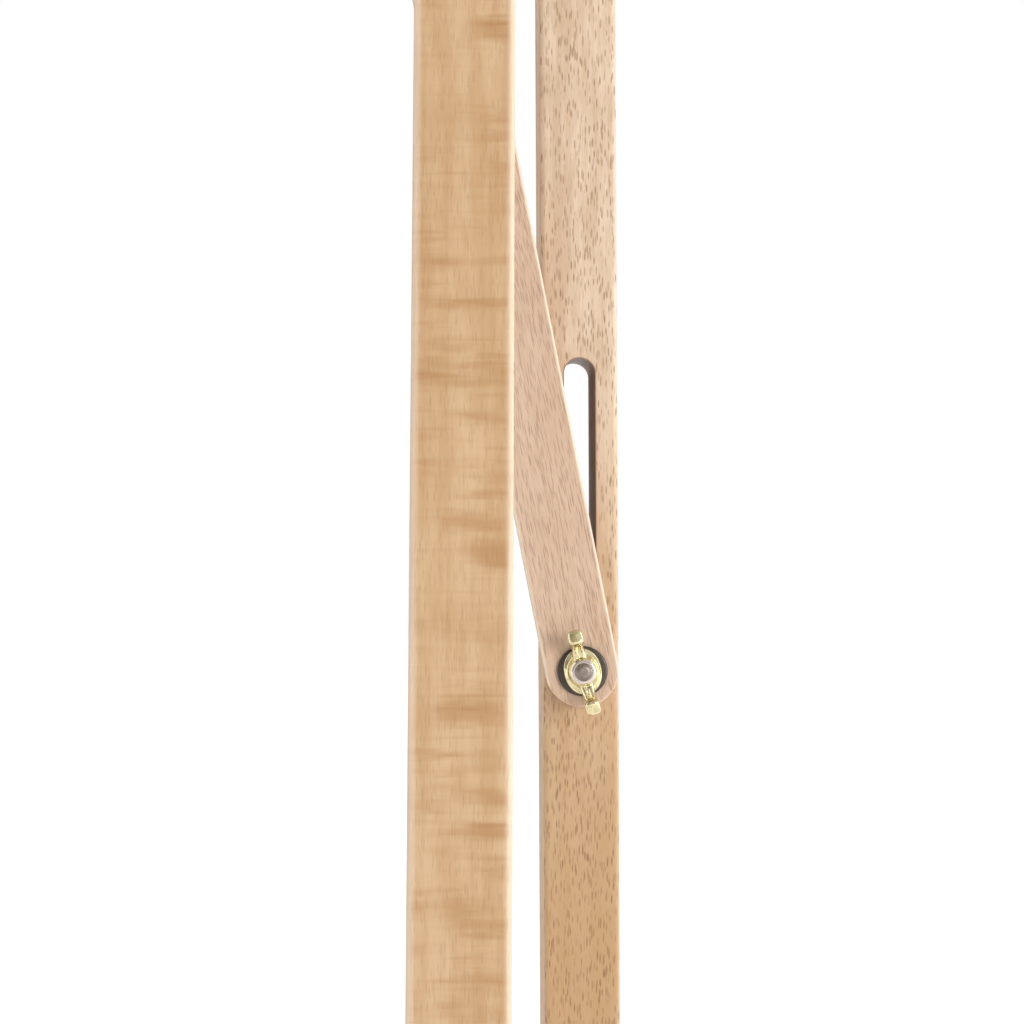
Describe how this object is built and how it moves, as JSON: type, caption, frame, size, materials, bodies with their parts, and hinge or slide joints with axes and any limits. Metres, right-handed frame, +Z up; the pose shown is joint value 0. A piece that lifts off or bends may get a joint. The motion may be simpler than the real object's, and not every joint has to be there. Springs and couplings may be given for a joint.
{
  "type": "artist easel",
  "caption": "Wooden A-frame artist easel with a hinged slotted rear leg, a wing-nut strut, a sliding canvas tray and a sliding mast with a top clamp.",
  "frame": {"origin": "on the floor, at the middle of the whole easel's footprint", "axes": "+X to the side that carries the strut, -Y towards the painter, +Z up"},
  "size_m": [0.6512, 0.1542, 1.7804],
  "materials": {
    "beech": "clear satin varnish",
    "beech_rear": "clear satin varnish",
    "beech_strut": "clear satin varnish",
    "brass_nut": "bright plated",
    "brass_bush": "satin",
    "dark_washer": "oiled",
    "steel_bolt": "zinc plated",
    "steel_screw": "zinc plated",
    "steel_plate": "zinc plated",
    "rubber_foot": "matt",
    "nylon_pad": "natural nylon"
  },
  "bodies": {
    "frame": {"left_front_leg": "beech", "right_front_leg": "beech", "left_foot_cap": "rubber_foot", "right_foot_cap": "rubber_foot", "lower_crossbar": "beech", "upper_crossbar": "beech", "head_block": "beech", "centre_rail": "beech", "leg_screws": "steel_screw", "rail_screws": "steel_screw", "hinge_bracket": "steel_plate", "hinge_bracket_screws": "steel_screw", "hinge_bolt": "steel_bolt", "hinge_lock_nut": "steel_bolt", "pivot_bolt": "steel_bolt", "pivot_washer": "dark_washer", "mast_bolt": "steel_bolt", "mast_washer": "dark_washer", "mast_guide": "steel_plate", "mast_guide_spacers": "nylon_pad", "mast_guide_screws": "steel_screw"},
    "rear_leg": {"rear_leg": "beech_rear", "rear_foot_cap": "rubber_foot", "hinge_bushing": "brass_bush"},
    "strut": {"strut": "beech_strut", "clamp_bolt": "steel_bolt", "clamp_back_washer": "dark_washer", "clamp_washer": "dark_washer"},
    "clamp_nut": {"clamp_wing_nut": "brass_nut"},
    "pivot_nut": {"pivot_wing_nut": "brass_nut"},
    "tray": {"tray_block": "beech", "tray_left_cheek": "beech", "tray_right_cheek": "beech", "tray_shelf": "beech", "tray_lip": "beech", "tray_screws": "steel_screw", "tray_bolt": "steel_bolt", "tray_back_washer": "dark_washer", "tray_washer": "dark_washer"},
    "tray_nut": {"tray_wing_nut": "brass_nut"},
    "mast": {"mast": "beech"},
    "mast_nut": {"mast_wing_nut": "brass_nut"},
    "top_clamp": {"top_clamp_block": "beech", "top_clamp_hook": "beech", "top_clamp_screws": "steel_screw", "top_clamp_insert": "brass_bush"},
    "top_clamp_screw": {"top_clamp_thumb_screw": "brass_nut"}
  },
  "joints": [
    {"name": "rear_leg_hinge", "type": "hinge", "parent": "frame", "child": "rear_leg", "pos_m": [0, 0.05624, 1.29969], "axis": [1, 0, 0], "range_deg": [-0.78, 10.2]},
    {"name": "strut_pivot", "type": "hinge", "parent": "frame", "child": "strut", "pos_m": [0, -0.00236, 0.60097], "axis": [1, 0, 0], "range_deg": [-2.6, 33.3]},
    {"name": "clamp_nut_turn", "type": "hinge", "parent": "strut", "child": "clamp_nut", "pos_m": [0, 0.06124, 0.278], "axis": [1, 0, 0], "continuous": true},
    {"name": "pivot_nut_turn", "type": "hinge", "parent": "frame", "child": "pivot_nut", "pos_m": [0, -0.00236, 0.60097], "axis": [1, 0, 0], "continuous": true},
    {"name": "tray_slide", "type": "slide", "parent": "frame", "child": "tray", "axis": [0, 0.0087, 1], "range_m": [-0.06, 0.2]},
    {"name": "tray_nut_turn", "type": "hinge", "parent": "tray", "child": "tray_nut", "pos_m": [0, 0.02179, 0.78997], "axis": [0, -1, 0.0087], "continuous": true},
    {"name": "mast_slide", "type": "slide", "parent": "frame", "child": "mast", "axis": [0, 0.0087, 1], "range_m": [0, 0.28]},
    {"name": "mast_nut_turn", "type": "hinge", "parent": "frame", "child": "mast_nut", "pos_m": [0, 0.02747, 1.43995], "axis": [0, -1, 0.0087], "continuous": true},
    {"name": "top_clamp_slide", "type": "slide", "parent": "mast", "child": "top_clamp", "axis": [0, 0.0087, 1], "range_m": [-0.085, 0.12]},
    {"name": "top_clamp_screw_turn", "type": "hinge", "parent": "top_clamp", "child": "top_clamp_screw", "pos_m": [0.01525, -0.01523, 1.62433], "axis": [1, 0, 0], "continuous": true}
  ],
  "couplings": [
    {"joint": "strut_pivot", "follows": "rear_leg_hinge", "ratio": 3.255}
  ]
}
